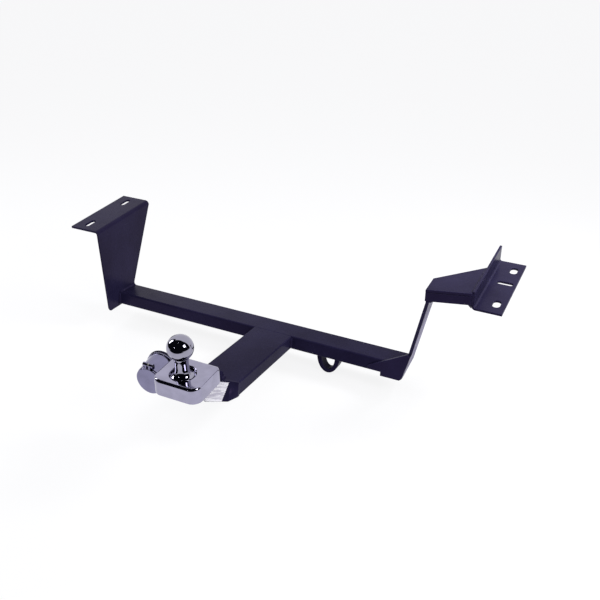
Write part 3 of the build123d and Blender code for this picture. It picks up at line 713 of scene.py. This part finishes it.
def plan_point(angle, inset):
    """The point of the cover's outline in the direction of an angle from the ball's axis."""
    front, back = COVER_FRONT + inset, COVER_BACK - inset
    front_r, back_r = COVER_FRONT_R - inset, max(COVER_BACK_R - inset, 0.3)
    dx, dy = math.cos(angle), math.sin(angle)
    half = (COVER_RIGHT if dx > 0 else COVER_LEFT) - inset
    reach = min(half / max(abs(dx), TINY), (back if dy > 0 else -front) / max(abs(dy), TINY))
    x, y = reach * dx, reach * dy
    radius = back_r if dy > 0 else front_r
    centre_x = math.copysign(half - radius, dx)
    centre_y = back - radius if dy > 0 else front + radius
    in_corner = abs(x) > half - radius and (y > centre_y if dy > 0 else y < centre_y)
    if in_corner:
        towards = dx * centre_x + dy * centre_y
        power = centre_x ** 2 + centre_y ** 2 - radius ** 2
        reach = towards + math.sqrt(max(towards ** 2 - power, 0.0))
        x, y = reach * dx, reach * dy
    return x, y


def heights(low, high, steps):
    """Evenly spaced values after low, up to high."""
    return [low + (high - low) * k / steps for k in range(1, steps + 1)]


def cover_rings():
    """Rings from the outer foot over the top, down the recess to its floor's hole, then back inside.

    A ring is either the plan, set in from the outline, or a circle round the ball's axis."""
    angles = [2 * math.pi * n / COVER_STEPS for n in range(COVER_STEPS)]

    def plan(inset, z):
        return [mm(*plan_point(angle, inset), z) for angle in angles]

    def circle(radius, z):
        return [mm(radius * math.cos(angle), radius * math.sin(angle), z) for angle in angles]

    inset_and_rise = [(COVER_WALL, 0.0), (COVER_WALL - 0.5, 0.0), (0.6, 0.0), (0.15, 0.2), (0.0, 0.7)]
    rings = [plan(inset, COVER_BOTTOM + rise) for inset, rise in inset_and_rise]
    rings += [plan(0, z) for z in heights(COVER_BOTTOM, COVER_TOP - COVER_TOP_R, 7)[:-1]]
    rings += [plan(COVER_TOP_R * (1 - math.cos(turn)), COVER_TOP - COVER_TOP_R * (1 - math.sin(turn)))
              for turn in quarter(8)]
    flat_edge = plan(COVER_TOP_R + 1.0, COVER_TOP)
    lip_edge = circle(RECESS_R + RECESS_LIP_R, COVER_TOP)
    rings += [[a.lerp(b, k / 8) for a, b in zip(flat_edge, lip_edge)] for k in range(8)]
    rings += [circle(RECESS_R + RECESS_LIP_R * (1 - math.sin(turn)),
                     COVER_TOP - RECESS_LIP_R * (1 - math.cos(turn))) for turn in quarter(8)]
    rings += [circle(RECESS_R, z)
              for z in heights(COVER_TOP - RECESS_LIP_R, RECESS_FLOOR + RECESS_FLOOR_R, 3)]
    rings += [circle(RECESS_R - RECESS_FLOOR_R * (1 - math.cos(turn)),
                     RECESS_FLOOR + RECESS_FLOOR_R * (1 - math.sin(turn))) for turn in quarter(4)[1:]]
    rings += [circle(SHANK_HOLE_R, RECESS_FLOOR), circle(SHANK_HOLE_R, RECESS_FLOOR - COVER_WALL),
              circle(RECESS_R + COVER_WALL, RECESS_FLOOR - COVER_WALL),
              circle(RECESS_R + COVER_WALL, COVER_TOP - COVER_WALL),
              plan(COVER_TOP_R, COVER_TOP - COVER_WALL), plan(COVER_WALL, COVER_TOP - COVER_TOP_R)]
    return rings


def make_cover():
    bm = bmesh.new()
    ring_mesh(bm, cover_rings(), looped=True)
    obj = from_bmesh("cover_shell", bm, ["chrome_plate"], degrees=40)
    weigh_normals(obj)
    settle(obj, "hitch", ["chrome_cover"])


make_cover()


# Ball with its neck, base and threaded shank, and what holds it under the plate

def make_ball():
    """Ball, waisted neck, round base and threaded shank, turned as one."""
    neck_top = -math.sqrt(BALL_R ** 2 - NECK_R ** 2)
    neck_angle = math.degrees(math.atan2(neck_top, NECK_R))
    sphere = arc((0, 0), BALL_R, neck_angle, 90, 60)[1:-1] + [(0.0, BALL_R)]
    undercut_r, undercut_drop = 2.2, 1.6
    undercut = on_circle((NECK_R + undercut_r, neck_top - undercut_drop), undercut_r, 128)
    neck = [(13.9, -25.0), (13.4, -28.0), (13.05, -32.0), (13.0, -37.0), (13.1, -42.0), (13.6, -47.0),
            (14.6, -51.0), (16.2, -54.2), (18.4, -56.8), (20.4, -58.2), (21.5, -58.9)]
    base = [(BASE_R - 0.1, -59.4), (BASE_R, -60.2), (BASE_R, RECESS_FLOOR + 0.8),
            (BASE_R - 0.3, RECESS_FLOOR + 0.2), (BASE_R - 0.8, RECESS_FLOOR), (SHANK_R, RECESS_FLOOR)]
    thread = []
    for n in range(THREAD_TURNS):
        z = THREAD_TOP - THREAD_PITCH * n
        thread += [(SHANK_R, z), (SHANK_R - THREAD_DEPTH, z - THREAD_PITCH / 2)]
    end = [(9.6, SHANK_END), (0.0, SHANK_END)]
    below_ball = [undercut] + neck + base + thread + end
    ball = lathe("ball_body", below_ball[::-1] + sphere, "Z", (0, 0, 0), "chrome_bright", degrees=50)
    settle(ball, "hitch", ["tow_ball"])


make_ball()
rounded("nut_steel", "ball_nut", 0.5, look="zinc_steel", edge_look=None)
rounded("flat_washer_steel", "flat_washer", 0.4, look="zinc_steel", edge_look=None)
rounded("spring_washer_steel", "spring_washer", 0.4, look="zinc_steel", edge_look=None)


# Electrical socket: housing, sprung lid and what is inside

SOCKET_PLACE = (SOCKET_X, SOCKET_FRONT, SOCKET_Z)


def make_housing():
    """The body that flares from its mouth back to its rim, bored for the insert and the cable."""
    end, rim_r, mouth_r, mouth_top = SOCKET_L, 0.9, 1.5, 27.7
    mouth = ([(BORE_R, 1.2), (25.0, 0.35), (25.8, 0.0), (mouth_top, 0.0)]
             + arc((mouth_top, mouth_r), mouth_r, -80, 0, 5))
    flare = [(29.8, 6.0), (30.6, 12.0), (31.4, 19.0), (32.3, 27.0), (33.1, 34.0), (33.6, end - 4.4),
             (34.2, end - 3.4), (RIM_R, end - 3.05)]
    rim = arc((RIM_R, end - 2.1), rim_r, -70, 0, 4) + arc((RIM_R, end - rim_r), rim_r, 0, 90, 4)
    inside = [(CABLE_R, end), (CABLE_R, end - BACK_WALL), (CHAMBER_R, end - BACK_WALL),
              (CHAMBER_R, BORE_L), (BORE_R, BORE_L)]
    housing = lathe("socket_body", mouth + flare + rim + inside, "Y", SOCKET_PLACE, "chrome_socket",
                    degrees=40)
    settle(housing, "hitch", ["socket_housing"])


def make_lid():
    """A slightly domed disc with a rolled edge, in front of the mouth."""
    dome = [(0.0, -3.95), (8.0, -3.9), (16.0, -3.75), (22.0, -3.6), (25.4, -3.45)]
    edge = arc((26.6, -1.9), 1.6, -100, 0, 6) + [(28.15, -0.6), (27.9, -0.35)]
    back = [(27.3, -0.3), (0.0, -0.3)]
    lid = lathe("lid_disc", dome + edge + back, "Y", SOCKET_PLACE, "chrome_socket", degrees=40)
    settle(lid, "lid", ["socket_lid"])


def bar_piece(name, points, x0, x1, body, rounding):
    """A bar of a (y, z) outline that runs between two x, with rounded edges."""
    bm = bmesh.new()
    ring_mesh(bm, [[mm(x, y, z) for y, z in points] for x in sorted((x0, x1))])
    round_edges(bm, [edge for edge in bm.edges if edge.calc_face_angle(0) > math.radians(30)], rounding)
    obj = from_bmesh(name, bm, ["chrome_socket"], degrees=50)
    weigh_normals(obj)
    settle(obj, body)


def make_hinge():
    """Two ears on the housing and two arms of the lid between them, all round the pin."""
    barrel = arc((HINGE_Y, HINGE_Z), HINGE_R, 180, 0, 12)
    ear_foot = SOCKET_Z + 27.5
    ear = [(SOCKET_FRONT + 0.2, ear_foot)] + barrel + [(SOCKET_FRONT + 6.0, ear_foot)]
    arm_foot, lid_back = SOCKET_Z + 26.0, SOCKET_FRONT - 0.4
    arm = ([(SOCKET_FRONT - 3.0, arm_foot), (SOCKET_FRONT - 2.8, SOCKET_Z + 31.0)] + barrel
           + [(lid_back, SOCKET_Z + 29.5), (lid_back, arm_foot)])
    ear_out, ear_in, arm_out, arm_in = 11.0, 6.0, 5.7, 2.7
    for name, side in SIDES:
        bar_piece("hinge_ear_" + name, ear, SOCKET_X + side * ear_out, SOCKET_X + side * ear_in, "hitch", 0.6)
        bar_piece("lid_arm_" + name, arm, SOCKET_X + side * arm_out, SOCKET_X + side * arm_in, "lid", 0.3)


make_housing()
make_lid()
make_hinge()
dress("lid_hinge_pin", "zinc_steel")
dress("lid_spring", "zinc_steel")
dress("lid_seal", "black_rubber")
dress("socket_insert", "black_plastic")
dress("contact_pins", "contact_brass")
dress("terminal_screws", "contact_brass")
dress("identification_label", "label_film")
rounded("gasket_ring", "socket_gasket", 0.4, look="black_rubber", edge_look=None)
rounded("gland_body", "cable_gland", 0.6, look="black_plastic", edge_look=None)
rounded("socket_bracket_plate", "socket_bracket", 0.7)
rounded("socket_screw_set", "socket_screws", 0.5, look="zinc_steel", edge_look=None)
rounded("bracket_screw_set", "bracket_screws", 0.6, look="zinc_steel", edge_look=None)


# Floor and world

FLOOR_HALF = 30.0
FLOOR_GAP = 0.0005
FLOOR_GLOW = 0.85
FLOOR_SHADE = (0.13, 0.13, 0.135)
FLOOR_PLAIN = (0.62, 0.61, 0.66)
WORLD_TINT = (0.92, 0.92, 1.0)
WORLD_STRENGTH = 0.68


def make_floor():
    """A floor that shows white, keeps the object's shadow and lights the object as a plain surface."""
    bm = bmesh.new()
    bmesh.ops.create_grid(bm, x_segments=8, y_segments=8, size=FLOOR_HALF)
    mesh = bpy.data.meshes.new("floor")
    bm.to_mesh(mesh)
    bm.free()
    floor = bpy.data.objects.new("floor", mesh)
    floor.location.z = cad_box[0].z - FLOOR_GAP
    scene.collection.objects.link(floor)
    n = new_nodes("floor")
    shaded = n.out("BsdfDiffuse", {"Color": opaque(FLOOR_SHADE)})
    glow = n.out("Emission", {"Color": opaque(WHITE), "Strength": FLOOR_GLOW})
    plain = n.out("BsdfDiffuse", {"Color": opaque(FLOOR_PLAIN)})
    n.end(n.out("MixShader", {0: n.shown_white(), 1: plain, 2: n.out("AddShader", {0: shaded, 1: glow})}))
    mesh.materials.append(n.owner)


def make_world():
    """White where it is seen or mirrored, and a softer, bluish light on the rest."""
    world = bpy.data.worlds.new("studio")
    scene.world = world
    n = Nodes(world, "OutputWorld")
    soft = n.out("Background", {0: opaque(WORLD_TINT), 1: WORLD_STRENGTH})
    white = n.out("Background", {0: opaque(WHITE), 1: 1.0})
    n.end(n.out("MixShader", {0: n.shown_white(), 1: soft, 2: white}))


# The dark studio round the camera, which only glossy surfaces see, and the lamps: places and sizes are
# metres, and the wall's ends are degrees from straight in front

STUDIO_BLACK = (0.006, 0.006, 0.009)
STUDIO_HALF = 2.6
STUDIO_TOP = 4.2
CEILING_LEFT_END, CEILING_RIGHT_END = 0.0, 1.2
TABLE_FRONT, TABLE_HALF = -0.75, 1.3
GROUND_RISE = 0.002
WALL_FOOT = -0.24
WALL_START, WALL_END = -106, 120
WALL_STEPS = 32
ORIGIN = (0.0, 0.0, 0.0)


def studio_piece(name, points, faces=((0, 1, 2, 3),)):
    """A dark surface of one four-cornered face, or of more."""
    mesh = bpy.data.meshes.new(name)
    mesh.from_pydata(points, [], faces)
    obj = bpy.data.objects.new(name, mesh)
    scene.collection.objects.link(obj)
    n = new_nodes(name)
    n.end(n.out("Emission", {"Color": opaque(STUDIO_BLACK), "Strength": 1.0}))
    mesh.materials.append(n.owner)
    obj.visible_camera = False
    obj.visible_diffuse = False
    obj.visible_shadow = False
    obj.visible_transmission = False
    obj.visible_volume_scatter = False


def make_studio():
    """A wall round the side the photograph is taken from, a ceiling back to above the ball, and the
    ground in front of the white table."""
    columns = WALL_STEPS + 1
    turns = [math.radians(WALL_START + (WALL_END - WALL_START) * k / WALL_STEPS) for k in range(columns)]
    wall = [(STUDIO_HALF * math.sin(turn), -STUDIO_HALF * math.cos(turn), z)
            for z in (WALL_FOOT, STUDIO_TOP) for turn in turns]
    studio_piece("studio_wall", wall, [(k, k + 1, k + 1 + columns, k + columns) for k in range(WALL_STEPS)])
    half, top, low = STUDIO_HALF, STUDIO_TOP, cad_box[0].z + GROUND_RISE
    studio_piece("studio_ceiling", [(-half, -half, top), (half, -half, top),
                                    (half, CEILING_RIGHT_END, top), (-half, CEILING_LEFT_END, top)])
    studio_piece("studio_foreground", [(-half, -half, low), (half, -half, low),
                                       (TABLE_HALF, TABLE_FRONT, low), (-TABLE_HALF, TABLE_FRONT, low)])


def lamp(name, place, target, size, watts, glossy=True):
    """A soft box that faces a target, and that glossy surfaces mirror or not."""
    data = bpy.data.lights.new(name, "AREA")
    data.shape = "RECTANGLE"
    data.size, data.size_y = size
    data.energy = watts
    obj = bpy.data.objects.new(name, data)
    obj.location = place
    obj.rotation_euler = (Vector(target) - Vector(place)).to_track_quat("-Z", "Y").to_euler()
    obj.visible_glossy = glossy
    scene.collection.objects.link(obj)


def make_mirrored_lamps():
    """The lamps whose reflections show as highlights on the ball and the cover."""
    lamp("strip_left", (-1.78, -0.03, 0.85), ORIGIN, size=(0.34, 1.05), watts=9.0)
    lamp("box_right", (1.68, -0.26, 1.14), ORIGIN, size=(0.56, 0.66), watts=12.0)
    lamp("spot_front", (-0.65, -1.79, 0.89), ORIGIN, size=(0.10, 0.10), watts=0.6)
    lamp("spot_high", (0.02, -0.60, 2.10), ORIGIN, size=(0.10, 0.10), watts=0.12)


def make_fill_lamps():
    """The lamps that only brighten: from above, from the front and beside both flanges."""
    lamp("top", (0.1, 0.5, 2.6), (0.0, 0.3, -0.1), size=(2.2, 1.6), watts=3.0, glossy=False)
    lamp("front_fill", (0.9, -1.9, 0.1), (0.0, 0.2, -0.1), size=(1.2, 0.8), watts=6.0, glossy=False)
    lamp("right_high", (0.78, 0.72, 0.55), (0.47, 0.44, 0.01), size=(0.30, 0.30), watts=10.0, glossy=False)
    lamp("left_high", (-0.78, 0.72, 0.60), (-0.46, 0.42, 0.01), size=(0.30, 0.30), watts=1.6, glossy=False)


make_floor()
make_world()
make_studio()
make_mirrored_lamps()
make_fill_lamps()

scene.view_settings.view_transform = "Standard"
